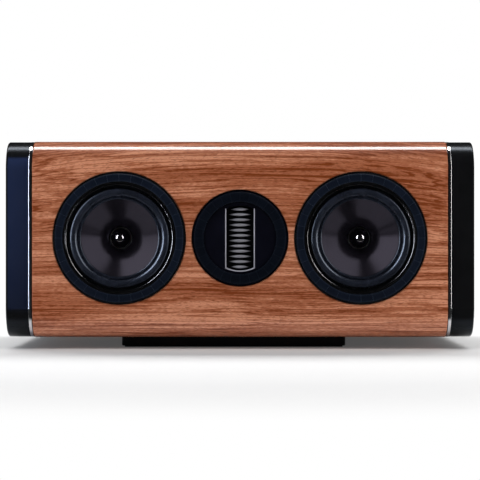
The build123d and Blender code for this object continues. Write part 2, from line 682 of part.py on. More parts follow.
def tweeter_screws():
    """Fixing screws of the tweeter, hidden under its trim ring."""
    screw = Pos(TWEETER_SCREW_CIRCLE, 0, -FACEPLATE_SEAT) * countersunk_screw(TWEETER_SCREW_RADIUS, BAFFLE - 5)
    return Part() + around(screw, TWEETER_SCREWS, 45)


def port_tube():
    """Flared tube with a flange on the rear panel, flared again at its inner end."""
    outer = PORT_BORE + PORT_WALL
    lip = PORT_BORE + PORT_FLARE
    inner_end = PORT_FLANGE - PORT_LENGTH
    flare_end = PORT_FLANGE - PORT_FLARE
    mouth = Line((lip, PORT_FLANGE), (PORT_FLANGE_RADIUS - PORT_FLANGE, PORT_FLANGE))
    flange = TangentArc(
        (PORT_FLANGE_RADIUS - PORT_FLANGE, PORT_FLANGE), (PORT_FLANGE_RADIUS, 0), tangent=(1, 0)
    )
    outside = Polyline((PORT_FLANGE_RADIUS, 0), (outer, 0), (outer, inner_end), (PORT_BORE + PORT_WALL / 2, inner_end))
    inner_lip = TangentArc(
        (PORT_BORE + PORT_WALL / 2, inner_end), (PORT_BORE, inner_end + PORT_WALL / 2), tangent=(-1, 0)
    )
    bore = Line((PORT_BORE, inner_end + PORT_WALL / 2), (PORT_BORE, flare_end))
    flare = TangentArc((PORT_BORE, flare_end), (lip, PORT_FLANGE), tangent=(0, 1))
    return turned([mouth, flange, outside, inner_lip, bore, flare])


def terminal_screw_parts(maker):
    """Screws of the terminal plate, or their holes, about the middle of the plate."""
    part = Pos(0, 0, TERMINAL_PLATE) * maker(TWEETER_SCREW_RADIUS, REAR_PANEL)
    half = TERMINAL_MARGIN
    places = GridLocations(TERMINAL_LENGTH - half, TERMINAL_HEIGHT - half, 2, 2)
    return [place * part for place in places]


def terminal_plate():
    """Plate on the rear panel with a soft edge, carrying both posts."""
    plate = extrude(RectangleRounded(TERMINAL_LENGTH, TERMINAL_HEIGHT, TERMINAL_CORNER_RADIUS), amount=TERMINAL_PLATE)
    plate = fillet(plate.faces().sort_by(Axis.Z)[-1].edges(), TERMINAL_PLATE / 4)
    hole = ring(0, STUD_RADIUS + SCREW_GAP, 0, TERMINAL_PLATE)
    plate -= [place * hole for place in GridLocations(POST_SPACING, 0, 2, 1)]
    return plate - terminal_screw_parts(countersunk_hole)


def post_stud():
    """Threaded stud with a collar on the plate and a socket for a four millimetre plug."""
    collar_top = TERMINAL_PLATE + STUD_COLLAR
    stud = ring(0, STUD_RADIUS, -STUD_TAIL, STUD_REACH)
    stud += ring(STUD_RADIUS, STUD_COLLAR_RADIUS, TERMINAL_PLATE, collar_top)
    return stud - ring(0, SOCKET_RADIUS, STUD_REACH - SOCKET_LENGTH, STUD_REACH)


def post_knob():
    """Fluted clamping knob on the stud."""
    start = TERMINAL_PLATE + STUD_COLLAR + MOVING_GAP
    knob = extrude(Circle(KNOB_RADIUS), amount=KNOB_LENGTH)
    knob = chamfer(knob.faces().sort_by(Axis.Z)[-1].edges(), KNOB_FLUTE_RADIUS)
    flute = Pos(KNOB_RADIUS + KNOB_FLUTE_RADIUS / 3, 0, 0) * extrude(Circle(KNOB_FLUTE_RADIUS), amount=KNOB_LENGTH)
    knob -= around(flute, KNOB_FLUTES)
    knob -= extrude(Circle(STUD_RADIUS + THREAD_GAP), amount=KNOB_LENGTH)
    return Pos(0, 0, start) * knob


def post_nut():
    """Hexagon nut on the tail of a stud behind the plate."""
    nut = extrude(RegularPolygon(NUT_FLATS / 2, 6, major_radius=False), amount=-NUT)
    return nut - ring(0, STUD_RADIUS + SCREW_GAP, -NUT, 0)


def crossover_standoffs():
    """Four posts under the board."""
    post = Cylinder(STANDOFF_RADIUS, STANDOFF, align=(Align.CENTER, Align.CENTER, Align.MIN))
    inset = 4 * STANDOFF_RADIUS
    places = GridLocations(BOARD_LENGTH - inset, BOARD_DEPTH - inset, 2, 2)
    return Part() + [Pos(0, BOARD_Y, FLOOR_INSIDE) * place * post for place in places]


def crossover_board():
    """Bare board on its standoffs."""
    return Pos(0, BOARD_Y, BOARD_TOP - BOARD) * extrude(RectangleRounded(BOARD_LENGTH, BOARD_DEPTH, 3), amount=BOARD)


def crossover_inductors():
    """Three air cored coils standing on the board."""
    coil = ring(INDUCTOR_BORE, INDUCTOR_RADIUS, 0, INDUCTOR_HEIGHT)
    places = GridLocations(BOARD_LENGTH / 2, BOARD_DEPTH - 3 * INDUCTOR_RADIUS, 2, 2)
    return Part() + [Pos(0, BOARD_Y, BOARD_TOP) * place * coil for place in list(places)[:3]]


def crossover_capacitors():
    """Three film capacitors lying across the middle of the board."""
    can = Rot(0, 90, 0) * Cylinder(CAPACITOR_RADIUS, CAPACITOR_LENGTH)
    can = fillet(can.edges(), CAPACITOR_RADIUS / 8)
    pitch = 2 * CAPACITOR_RADIUS + 1.0
    places = GridLocations(0, pitch, 1, 3)
    middle = Pos(0, BOARD_Y, BOARD_TOP + CAPACITOR_RADIUS + GLUE_GAP)
    return Part() + [middle * Pos(-BOARD_LENGTH / 4, 0, 0) * place * can for place in places]


def crossover_resistors():
    """Three square ceramic resistors beside the capacitors."""
    block = Box(RESISTOR_HEIGHT, RESISTOR_LENGTH, RESISTOR_HEIGHT, align=(Align.CENTER, Align.CENTER, Align.MIN))
    block = fillet(block.edges().filter_by(Axis.Y), RESISTOR_HEIGHT / 10)
    places = GridLocations(1.4 * RESISTOR_HEIGHT, 0, 3, 1)
    return Part() + [Pos(BOARD_LENGTH / 4, BOARD_Y, BOARD_TOP) * place * block for place in places]


def speaker():
    """Every piece of the speaker by node name."""
    nodes = {
        "cabinet_wrap": cabinet_wrap(),
        "rear_panel": rear_panel(),
        "wadding": wadding(),
        "plinth": plinth(),
        "plinth_pad": plinth_pad(),
        "plinth_screws": plinth_screws(),
        "tweeter_trim_ring": segmented_ring(
            TWEETER_RING_BORE, TWEETER_RING_RADIUS, FACEPLATE_SEAT, TWEETER_RING_RISE, TWEETER_SEGMENTS
        ),
        "tweeter_faceplate": tweeter_faceplate(),
        "tweeter_bezel": tweeter_bezel(),
        "tweeter_diaphragm": tweeter_diaphragm(),
        "tweeter_housing": tweeter_housing(),
        "tweeter_magnets": tweeter_magnets(),
        "tweeter_pole_plate": tweeter_pole_plate(),
        "tweeter_rear_chamber": tweeter_rear_chamber(),
        "tweeter_screws": tweeter_screws(),
        "terminal_plate": on_rear(terminal_plate(), 0, TERMINAL_Z),
        "terminal_screws": on_rear(Part() + terminal_screw_parts(countersunk_screw), 0, TERMINAL_Z),
        "crossover_board": crossover_board(),
        "crossover_standoffs": crossover_standoffs(),
        "crossover_inductors": crossover_inductors(),
        "crossover_capacitors": crossover_capacitors(),
        "crossover_resistors": crossover_resistors(),
    }
    for name in nodes:
        if name.startswith("tweeter_"):
            nodes[name] = on_front(nodes[name], 0)
    for name, part in (("end_cap", right_end_cap()), ("trim_band", right_trim_band()), ("brace", right_brace())):
        nodes["right_" + name] = part
        nodes["left_" + name] = mirrored(part)
    for side, x in (("left", -1), ("right", 1)):
        for name, part in woofer_parts().items():
            nodes[f"{side}_woofer_{name}"] = on_front(part, x * WOOFER_X)
        nodes[f"{side}_port_tube"] = on_rear(port_tube(), x * PORT_SPACING / 2, CABINET_MIDDLE)
    sides = (-WOOFER_X, WOOFER_X)
    screws = around(woofer_screw(), WOOFER_SCREWS)
    nodes["woofer_gaskets"] = Part() + [on_front(woofer_gasket(), x) for x in sides]
    nodes["woofer_screws"] = Part() + [on_front(screw, x) for x in sides for screw in screws]
    posts = (("red", -POST_SPACING / 2), ("black", POST_SPACING / 2))
    for colour, x in posts:
        nodes[colour + "_post_stud"] = on_rear(post_stud(), x, TERMINAL_Z)
        nodes[colour + "_post_knob"] = on_rear(post_knob(), x, TERMINAL_Z)
    nodes["post_nuts"] = Part() + [on_rear(post_nut(), x, TERMINAL_Z) for _, x in posts]
    return nodes


os.makedirs("parts", exist_ok=True)
for node_name, node_part in speaker().items():
    export_step(node_part, f"parts/{node_name}.step")
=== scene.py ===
"""Center channel speaker: finishes for every piece, the cones and the soft rings on them, and a plain studio.

Metres. X runs along the cabinet, the front faces -Y, Z is up and the floor is Z = 0.
"""
from math import atan, cos, pi, radians, sin

import bmesh
import bpy
import numpy as np
from bpy.props import FloatProperty, FloatVectorProperty, IntProperty, PointerProperty
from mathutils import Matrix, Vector


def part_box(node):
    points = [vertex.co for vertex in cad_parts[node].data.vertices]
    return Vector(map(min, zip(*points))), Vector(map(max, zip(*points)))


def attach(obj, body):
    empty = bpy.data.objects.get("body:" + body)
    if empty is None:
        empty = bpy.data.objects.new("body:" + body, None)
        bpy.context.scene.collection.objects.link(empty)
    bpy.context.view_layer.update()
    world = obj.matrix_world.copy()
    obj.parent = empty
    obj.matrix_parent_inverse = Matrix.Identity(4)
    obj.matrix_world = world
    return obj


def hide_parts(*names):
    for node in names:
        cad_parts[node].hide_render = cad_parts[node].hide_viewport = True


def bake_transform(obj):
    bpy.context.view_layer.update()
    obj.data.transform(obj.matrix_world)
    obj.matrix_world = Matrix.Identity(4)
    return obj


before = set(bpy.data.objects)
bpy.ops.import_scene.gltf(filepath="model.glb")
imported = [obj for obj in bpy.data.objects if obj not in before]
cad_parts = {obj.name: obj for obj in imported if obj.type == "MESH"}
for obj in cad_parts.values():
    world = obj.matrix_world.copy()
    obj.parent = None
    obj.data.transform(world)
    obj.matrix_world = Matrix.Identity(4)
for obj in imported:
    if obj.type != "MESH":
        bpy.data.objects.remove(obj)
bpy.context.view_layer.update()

bl_info = {
    "name": "Center channel speaker",
    "version": (1, 0, 0),
    "blender": (4, 5, 0),
    "location": "3D View > Sidebar > Speaker",
    "description": "Finishes, cones, soft rings and studio of a center channel speaker",
    "category": "Object",
}


def middle_of(node):
    """Middle of a CAD node's box."""
    low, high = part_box(node)
    return (low + high) / 2


FRONT_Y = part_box("cabinet_wrap")[0].y
WOOFER = {side: middle_of(side + "_woofer_trim_ring") for side in ("left", "right")}
TWEETER = middle_of("tweeter_trim_ring")
ORIGIN = Vector((0.0, 0.0, 0.0))
FRONT_MIDDLE = (0.0, FRONT_Y, WOOFER["left"].z)

# Segments and width of the trim rings, and where the winding starts on a voice coil
WOOFER_SEGMENTS, WOOFER_RING_WIDTH = 32, 0.0088
TWEETER_SEGMENTS, TWEETER_RING_WIDTH = 28, 0.0112
WINDING_START = 0.0400

# An edge that turns by more than this stays sharp
SHARP_ANGLE = radians(42)

# Inputs and output of a Mix node that works on colours
MIX_FACTOR, MIX_FIRST, MIX_SECOND, MIX_RESULT = 0, 6, 7, 2

WHITE = (1.0, 1.0, 1.0)
COPPER = (0.62, 0.26, 0.12)

# Studio: the floor, where the lamps stand, and their tints
FLOOR_REACH, FLOOR_DROP = 6.0, 0.0002
LAMP_DISTANCE = 1.25
SIDE_ANGLE = radians(73)
PANEL_RISE = radians(42)
CARD_LIFT = 0.003
COOL, WARM, VIOLET, BLUE = (0.86, 0.90, 1.0), (1.0, 0.97, 0.95), (0.95, 0.90, 1.0), (0.27, 0.41, 1.0)


def colour(name, description, default):
    """A colour that a user may change."""
    return FloatVectorProperty(
        name=name, description=description, default=default, size=3, min=0.0, max=1.0, subtype="COLOR"
    )


def length(name, description, default):
    """A length that a user may change, shown in the scene's unit."""
    return FloatProperty(name=name, description=description, default=default, unit="LENGTH", precision=5)


def amount(name, description, default):
    """A plain number that a user may change."""
    return FloatProperty(name=name, description=description, default=default, min=0.0)


class SpeakerColours(bpy.types.PropertyGroup):
    """Colours of the finishes, as linear values."""

    walnut_light: colour("Walnut light", "Pale streaks of the veneer", (0.610, 0.262, 0.150))
    walnut_middle: colour("Walnut middle", "Ground of the veneer", (0.365, 0.119, 0.055))
    walnut_dark: colour("Walnut dark", "Dark streaks of the grain", (0.190, 0.040, 0.009))
    cap: colour("End cap", "Satin lacquer of both end caps", (0.0050, 0.0050, 0.0052))
    ring: colour("Trim ring", "Segmented rings round the drivers", (0.0038, 0.0068, 0.0150))
    ring_line: colour("Ring line", "Fine lines between the segments", (0.024, 0.034, 0.056))
    rubber: colour("Surround", "Rubber of the woofer surrounds", (0.0095, 0.0115, 0.0190))
    cone: colour("Cone", "Resin faced weave of the cones", (0.0056, 0.0047, 0.0072))
    chrome: colour("Bright trim", "Polished bands and rings", (0.80, 0.80, 0.83))
    film: colour("Film", "Foil on the crests of the pleats", (0.42, 0.42, 0.47))
    black: colour("Black", "Lacquered and moulded black pieces", (0.0040, 0.0040, 0.0048))
    red: colour("Red knob", "Knob of the red post", (0.36, 0.012, 0.010))
    gold: colour("Gold", "Plating of the posts", (0.82, 0.55, 0.20))


class SpeakerSizes(bpy.types.PropertyGroup):
    """Sizes of the cones and of the soft rings, and the pitch of the cones' weave."""

    lip_radius: length("Lip radius", "Outer edge of the surround", 0.0597)
    roll_outer: length("Roll outer radius", "Outer foot of the half roll", 0.0574)
    roll_inner: length("Roll inner radius", "Inner foot of the half roll", 0.0476)
    roll_height: length("Roll height", "Crest of the roll over the lips", 0.0048)
    bead_height: length("Bead height", "Crest of the bead on the inner lip", 0.0010)
    cone_radius: length("Cone radius", "Inner edge of the surround", 0.0440)
    cone_depth: length("Cone depth", "From the rim of the cone to its neck", 0.0260)
    cone_slope: amount("Cone slope", "Depth that the cone gains for each length towards the middle", 0.62)
    cone_throat: length("Cone throat", "Radius inside which the cone gets steeper", 0.0145)
    cone_neck: length("Cone neck", "Inner edge of the cone", 0.0125)
    cone_gap: length("Cone gap", "From the surround's seat to the rim of the cone", 0.0004)
    paper: length("Paper", "Thickness of the cone", 0.0009)
    skin: length("Skin", "Thickness of the rubber and of the cloth", 0.0008)
    landing: length("Landing depth", "Depth of the surround's seat behind the front", 0.0060)
    spider_bore: length("Spider bore", "Inner edge of the spider", 0.0128)
    spider_flat: length("Spider flat", "Where the glued edge of the spider starts", 0.0338)
    spider_radius: length("Spider radius", "Outer edge of the spider", 0.0366)
    spider_depth: length("Spider depth", "Depth of the spider behind the front", 0.0380)
    spider_wave: length("Spider wave", "Height of the spider's corrugations", 0.0012)
    spider_waves: IntProperty(name="Spider waves", description="Number of corrugations", default=5, min=1)
    turns: IntProperty(name="Ring steps", description="Steps round each cone and surround", default=192, min=24)
    weave: length("Weave pitch", "Pitch of the threads in the cone", 0.0016)


class StudioSettings(bpy.types.PropertyGroup):
    """Camera, lights and floor."""

    distance: length("Camera distance", "From the camera to the front of the cabinet", 2.0)
    height: length("Camera height", "Above the floor", 0.1238)
    side: length("Camera side", "Shift of the camera along the cabinet", 0.0)
    lens: FloatProperty(name="Lens", description="Focal length in millimetres", default=132.8, min=1.0)
    strip: amount("Strip", "Brightness of the overhead strip in reflections", 13.0)
    top: amount("Front top box", "Brightness of the front overhead box on matt surfaces", 2.7)
    back: amount("Rear top box", "Brightness of the rear overhead box on matt surfaces", 7.5)
    left: amount("Left box", "Brightness of the left box on matt surfaces", 2.7)
    right: amount("Right box", "Brightness of the right box on matt surfaces", 2.4)
    left_tall: amount("Left tall strip", "Brightness of the left strip in reflections", 18.0)
    right_tall: amount("Right tall strip", "Brightness of the right strip in reflections", 7.5)
    left_panel: amount("Left panel", "Brightness of the left panel in the cones", 1.45)
    right_panel: amount("Right panel", "Brightness of the right panel in the cones", 1.15)
    table_cards: amount("Table cards", "Brightness of the cards on the table in the cones", 0.52)
    wood_card: amount("Wood card", "Brightness of the card under the front edge on the wood", 0.55)
    card: amount("Card", "Brightness of the blue card beside the camera", 10.0)
    room: amount("Room", "Brightness of the dim room", 0.04)
    floor_glow: amount("Floor glow", "Own light of the floor as the camera sees it", 0.07)


class Wire:
    """A socket of a node tree. Its operators add Math nodes, so shader maths reads as an expression."""

    def __init__(self, tree, socket):
        self.tree = tree
        self.socket = socket

    def math(self, operation, *terms):
        return self.tree.node("ShaderNodeMath", {"operation": operation}, dict(enumerate(terms)))

    def __add__(self, other):
        return self.math("ADD", self, other)

    def __radd__(self, other):
        return self.math("ADD", other, self)

    def __sub__(self, other):
        return self.math("SUBTRACT", self, other)

    def __rsub__(self, other):
        return self.math("SUBTRACT", other, self)

    def __mul__(self, other):
        return self.math("MULTIPLY", self, other)

    def __rmul__(self, other):
        return self.math("MULTIPLY", other, self)

    def __pow__(self, other):
        return self.math("POWER", self, other)

    def __abs__(self):
        return self.math("ABSOLUTE", self)


class Tree:
    """A node tree that is put together by plain calls."""

    def __init__(self, owner):
        owner.use_nodes = True
        self.owner = owner
        self.tree = owner.node_tree

    def node(self, kind, settings=None, sockets=None, out=0):
        """Add a node: its settings first, then a value or a link for each socket. Returns one of its outputs."""
        made = self.tree.nodes.new(kind)
        for name, value in (settings or {}).items():
            setattr(made, name, value)
        for key, value in (sockets or {}).items():
            self.feed(made.inputs[key], value)
        return Wire(self, made.outputs[out]) if made.outputs else None

    def feed(self, socket, value):
        """Link a wire to a socket, or set the socket's own value."""
        if isinstance(value, Wire):
            self.tree.links.new(value.socket, socket)
        else:
            socket.default_value = value

    def split(self, spot):
        """The three coordinates of a point."""
        made = self.node("ShaderNodeSeparateXYZ", None, {"Vector": spot}).socket.node
        return [Wire(self, output) for output in made.outputs]

    def rays(self, *names):
        """Marks of the light path, each 1 for one sort of ray."""
        made = self.node("ShaderNodeLightPath").socket.node
        return [Wire(self, made.outputs["Is " + name + " Ray"]) for name in names]

    def mix(self, factor, first, second):
        """Colour between two colours."""
        sockets = {MIX_FACTOR: factor, MIX_FIRST: first, MIX_SECOND: second}
        return self.node("ShaderNodeMix", {"data_type": "RGBA"}, sockets, MIX_RESULT)

    def either(self, factor, first, second):
        """Shader between two shaders."""
        return self.node("ShaderNodeMixShader", None, {0: factor, 1: first, 2: second})

    def soft(self, value, low, high):
        """Smooth step from 0 at low to 1 at high."""
        sockets = {"Value": value, "From Min": low, "From Max": high}
        return self.node("ShaderNodeMapRange", {"interpolation_type": "SMOOTHSTEP"}, sockets)

    def line(self, offset, core, edge):
        """1 within the core of a line and 0 beyond its edge, for an offset from its middle."""
        return 1.0 - self.soft(abs(offset), core, edge)


class Finish(Tree):
    """A material on Object coordinates."""

    def __init__(self, name):
        super().__init__(bpy.data.materials.new(name))
        self.shader = self.tree.nodes["Principled BSDF"]

    def point(self, move=(0.0, 0.0, 0.0), scale=(1.0, 1.0, 1.0)):
        """Object coordinates, scaled and then moved."""
        return self.mapped(self.node("ShaderNodeTexCoord", out="Object"), move, scale)

    def mapped(self, spot, move=(0.0, 0.0, 0.0), scale=(1.0, 1.0, 1.0)):
        """A point, scaled and then moved."""
        return self.node("ShaderNodeMapping", None, {"Vector": spot, "Location": move, "Scale": scale})

    def across(self, centre):
        """Coordinates across a front-to-back axis through the centre: to the right of it and above it."""
        x, _, z = self.split(self.point(move=(-centre.x, 0.0, -centre.z)))
        return x, z

    def joined(self, x, y, z):
        """A point from three coordinates."""
        return self.node("ShaderNodeCombineXYZ", None, {"X": x, "Y": y, "Z": z})

    def noise(self, spot, scale=1.0, detail=2.0, rough=0.5):
        """Soft noise between 0 and 1."""
        sockets = {"Vector": spot, "Scale": scale, "Detail": detail, "Roughness": rough}
        return self.node("ShaderNodeTexNoise", None, sockets)

    def bump(self, height, distance, strength=1.0):
        """Normal that follows a height in metres."""
        return self.node("ShaderNodeBump", None, {"Height": height, "Distance": distance, "Strength": strength})

    def surface(self, **sockets):
        """Feed the shader; underscores in the names stand for spaces."""
        for name, value in sockets.items():
            self.feed(self.shader.inputs[name.replace("_", " ")], value)
        return self.owner


def from_axis(x, z):
    """Distance from the axis that two coordinates are measured across."""
    return (x * x + z * z) ** 0.5


def opaque(tone, share=1.0):
    """A colour with alpha, scaled by a share."""
    return (tone[0] * share, tone[1] * share, tone[2] * share, 1.0)


def dress(material, *nodes):
    """Give CAD nodes a material."""
    for name in nodes:
        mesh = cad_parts[name].data
        mesh.materials.clear()
        mesh.materials.append(material)


def walnut(colours):
    """Lacquered veneer: broad bands, ribbons, streaks, long thin veins and short pores on an arching grain."""
    f = Finish("walnut_veneer")
    wander = f.noise(f.point(scale=(4.0, 9.0, 11.0)))
    x, y, z = f.split(f.point())
    arch = 0.24 * x * x * f.soft(z, 0.06, 0.18)
    shift = (wander - 0.5) * 0.014 + arch
    grain = f.joined(x, y + shift, z + shift)

    def figure(along, across, detail=1.0, rough=0.5, move=(0.0, 0.0, 0.0)):
        """Noise with its own number of features for each metre along the grain and across it."""
        return f.noise(f.mapped(grain, move, (along, across, across)), detail=detail, rough=rough)

    band = figure(1.5, 22.0, detail=3.0, rough=0.7)
    ribbon = figure(3.0, 62.0)
    streak = figure(6.0, 400.0, rough=0.6)
    dash = figure(150.0, 760.0, rough=0.6)
    level = figure(4.0, 260.0, rough=0.4)
    presence = f.soft(figure(9.0, 70.0, move=(3.0, 1.0, 2.0)), 0.25, 0.5)
    vein = f.line(level - 0.5, core=0.01, edge=0.10) * presence
    shade = 0.62
    for layer, weight in ((band, 1.7), (ribbon, 0.9), (streak, 1.0), (dash, 0.8)):
        shade = shade + weight * (layer - 0.5)
    shade = shade - 0.52 * vein
    tone = f.mix(f.soft(shade, 0.0, 0.5), opaque(colours.walnut_dark), opaque(colours.walnut_middle))
    tone = f.mix(f.soft(shade, 0.5, 1.0), tone, opaque(colours.walnut_light))
    pore = f.soft(figure(210.0, 1400.0), 0.57, 0.68)
    tone = f.mix(pore * 0.5, tone, opaque(colours.walnut_dark, 0.6))
    return f.surface(
        Base_Color=tone,
        Roughness=0.50 - 0.16 * shade,
        Normal=f.bump(dash - pore, distance=0.00004, strength=0.5),
        Coat_Weight=1.0,
        Coat_Roughness=0.035,
        Coat_IOR=1.52,
        Specular_IOR_Level=0.1,
    )


def coating(name, tone, scale, rough, swing, tint, grit, metal=0.0, coat=0.0, shine=0.5, glint=WHITE):
    """Even coat: tone and roughness drift with a soft noise, and a fine noise gives it tooth.

    scale: features of the fine noise for each metre; swing and tint: how far roughness and tone drift;
    grit: height of the tooth; shine and glint: strength and tint of its reflections.
    """
    f = Finish(name)
    spot = f.point()
    drift = f.noise(spot, scale * 0.06, detail=3.0)
    tooth = f.noise(spot, scale)
    shade = f.mix(f.soft(drift, 0.3, 0.7), opaque(tone, 1.0 - tint), opaque(tone, 1.0 + tint))
    return f.surface(
        Base_Color=shade,
        Roughness=rough + (tooth - 0.5) * swing * 2.0,
        Metallic=metal,
        Normal=f.bump(tooth, distance=grit),
        Coat_Weight=coat,
        Coat_Roughness=0.05,
        Specular_IOR_Level=shine,
        Specular_Tint=opaque(glint),
    )


def turned_metal(name, tone, rough, centre, pitch):
    """Lathe finish: fine rings round a front-to-back axis through the centre."""
    f = Finish(name)
    groove = f.noise(f.joined(from_axis(*f.across(centre)), 0.0, 0.0), 1.0 / pitch, detail=3.0, rough=0.7)
    stain = f.noise(f.point(), 60.0)
    shade = f.mix(stain, opaque(tone, 0.82), opaque(tone))
    return f.surface(
        Base_Color=shade,
        Metallic=1.0,
        Roughness=rough + (groove - 0.5) * 0.16,
        Normal=f.bump(groove, distance=pitch * 0.05),
    )


def ring_rubber(name, colours, node, segments, width, share=1.0):
    """Segmented ring: lighter hair lines on the grooves, a painted highlight line just inside both edges, and each
    segment a tone of its own.
    """
    f = Finish(name)
    x, z = f.across(middle_of(node))
    low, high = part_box(node)
    radius = (high.x - low.x) / 2
    # Radii of the painted highlight lines along the inner and outer edges
    inner_highlight_radius = radius - width + 0.0008
    outer_highlight_radius = radius - 0.0010
    around = z.math("ARCTAN2", z, x) * (segments / (2 * pi))
    out = from_axis(x, z)
    off_middle = abs(around.math("FRACT", around) - 0.5) * 2.0
    groove = f.soft(off_middle, 0.90, 0.97)
    # Painted highlight: lighter lines just inside both edges of the ring
    inner = f.line(out - inner_highlight_radius, core=0.0002, edge=0.0007)
    outer = f.line(out - outer_highlight_radius, core=0.0002, edge=0.0007)
    number = around.math("FLOOR", around)
    lot = f.node("ShaderNodeTexWhiteNoise", {"noise_dimensions": "1D"}, {"W": number})
    fuzz = f.noise(f.point(), 900.0, rough=0.6)
    tone = f.mix(lot * 0.6, opaque(colours.ring, share), opaque(colours.ring, 0.6 * share))
    tone = f.mix((fuzz - 0.35) * 0.4, tone, opaque(colours.ring_line, share))
    tone = f.mix(groove * 0.45 + inner * 0.25 + outer * 0.25, tone, opaque(colours.ring_line, share))
    return f.surface(
        Base_Color=tone,
        Roughness=0.46 + 0.16 * (fuzz - 0.5) - 0.10 * groove,
        Normal=f.bump(fuzz, distance=0.00008),
        Specular_IOR_Level=0.10,
    )


def surround_rubber(name, colours, centre):
    """Moulded rubber: even blue black with a faint bloom and the finest mould rings, and painted shade that turns it
    black at the outer foot.
    """
    f = Finish(name)
    out = from_axis(*f.across(centre))
    mould = f.noise(f.joined(out, 0.0, 0.0), 2600.0)
    bloom = f.noise(f.point(), 45.0, detail=3.0)
    # Painted shade: the outer foot of the roll turns black
    foot = f.soft(out, 0.0548, 0.0566)
    tone = f.mix(f.soft(bloom, 0.35, 0.7), opaque(colours.rubber, 0.8), opaque(colours.rubber, 1.25))
    tone = f.mix(foot, tone, opaque(colours.black, 0.5))
    return f.surface(
        Base_Color=tone,
        Roughness=0.27 + 0.08 * (bloom - 0.5) + 0.05 * (mould - 0.5),
        Normal=f.bump(mould, distance=0.00002),
        Specular_Tint=(0.70, 0.82, 1.0, 1.0),
    )


def cone_weave(name, colours, pitch, centre):
    """Plain weave under clear resin: crossing threads, each a rounded ridge, over and under in turn, darker off the
    ridges as painted shade.
    """
    f = Finish(name)
    x, z = f.across(centre)
    across = x.math("SINE", x * (pi / pitch))
    along = z.math("SINE", z * (pi / pitch))
    over = f.soft(across * along, -0.12, 0.12)
    thread = abs(across) * over + abs(along) * (1.0 - over)
    cloud = f.noise(f.point(), 70.0, detail=3.0)
    slub = f.noise(f.point(scale=(260.0, 260.0, 1800.0)))
    tone = f.mix(over * 0.6, opaque(colours.cone), opaque(colours.cone, 0.72))
    # Painted shade: darker where the threads fall away from their ridges
    tone = f.mix((1.0 - thread) * 0.45, tone, opaque(colours.cone, 0.30))
    tone = f.mix(f.soft(cloud, 0.3, 0.75) * 0.30 + (slub - 0.5) * 0.2, tone, opaque(colours.cone, 1.35))
    return f.surface(
        Base_Color=tone,
        Roughness=0.16 + 0.10 * (slub - 0.5),
        Normal=f.bump(thread, distance=0.00005, strength=0.4),
        Specular_IOR_Level=0.5,
        Specular_Tint=(0.88, 0.84, 1.0, 1.0),
    )


def pleated_film(name, colours):
    """Foil on the crest of each pleat with a painted highlight along its front that fades towards its flanks, and
    black between the pleats as painted shade.
    """
    f = Finish(name)
    depth = f.split(f.point(move=(0.0, -FRONT_Y, 0.0)))[1]
    crest = 1.0 - f.soft(depth, 0.0040, 0.0052)
    # Painted highlight: the front of each crest is lighter in the colour, its flanks darker
    core = 1.0 - f.soft(depth, 0.0027, 0.0042)
    track = f.noise(f.point(scale=(30.0, 900.0, 900.0)))
    crease = f.noise(f.point(scale=(500.0, 60.0, 60.0)))
    # Foil tone carrying the painted highlight on the front of each crest
    bright = f.mix(core, opaque(colours.film, 0.14), opaque(colours.film))
    bright = f.mix(track * 0.5, bright, opaque(colours.film, 0.30))
    # Painted shade: the valleys between the pleats are black
    tone = f.mix(crest, opaque(colours.black, 0.5), bright)
    return f.surface(
        Base_Color=tone,
        Metallic=0.35 * crest,
        Roughness=0.36 + 0.16 * (crease - 0.5) + 0.2 * (1.0 - crest),
        Normal=f.bump(track * 0.6 + crease * 0.4, distance=0.00003),
        Specular_IOR_Level=0.3,
    )


def cloth(name, tone, pitch):
    """Open cloth: crossing threads as two sine waves, with fuzz."""
    f = Finish(name)
    x, _, z = f.split(f.point(scale=(2 * pi / pitch,) * 3))
    threads = x.math("SINE", x) * 0.5 + z.math("SINE", z) * 0.5
    fuzz = f.noise(f.point(), 1.2 / pitch, detail=3.0, rough=0.7)
    shade = f.mix(f.soft(threads + fuzz, -0.4, 1.4), opaque(tone, 0.55), opaque(tone))
    return f.surface(
        Base_Color=shade,
        Roughness=0.85 + 0.1 * (fuzz - 0.5),
        Normal=f.bump(threads + fuzz, distance=pitch * 0.15),
    )


def fibre_board(name, tone):
    """Pressed board: short fibres in two sizes with pale and dark flecks."""
    f = Finish(name)
    fleck = f.noise(f.point(), 900.0, detail=3.0, rough=0.7)
    patch = f.noise(f.point(scale=(60.0, 60.0, 160.0)))
    shade = f.mix(f.soft(fleck, 0.35, 0.65), opaque(tone, 0.7), opaque(tone, 1.1))
    shade = f.mix(patch * 0.4, shade, opaque(tone, 0.8))
    return f.surface(
        Base_Color=shade,
        Roughness=0.78 + 0.1 * (fleck - 0.5),
        Normal=f.bump(fleck, distance=0.0001),
    )


def wound_wire(name, tone, pitch, start=-1.0):
    """Enamelled winding: round turns side by side along Y and Z, darker between the turns as painted shade, and a bare
    former ahead of its start.
    """
    f = Finish(name)
    _, y, z = f.split(f.point(scale=(2 * pi / pitch,) * 3))
    turn = y.math("SINE", y) * 0.5 + z.math("SINE", z) * 0.5
    stain = f.noise(f.point(), 300.0)
    # Painted shade: the winding darkens in the grooves between the turns
    shade = f.mix(f.soft(turn, -0.9, 0.6), opaque(tone, 0.35), opaque(tone))
    depth = y * (pitch / (2 * pi)) - FRONT_Y
    wound = f.soft(depth, start, start + 0.0006)
    former = f.mix(stain, (0.52, 0.52, 0.54, 1.0), (0.64, 0.64, 0.66, 1.0))
    return f.surface(
        Base_Color=f.mix(wound, former, shade),
        Metallic=0.85,
        Roughness=0.34 + 0.2 * (stain - 0.5),
        Normal=f.bump(turn * wound, distance=pitch * 0.2),
    )


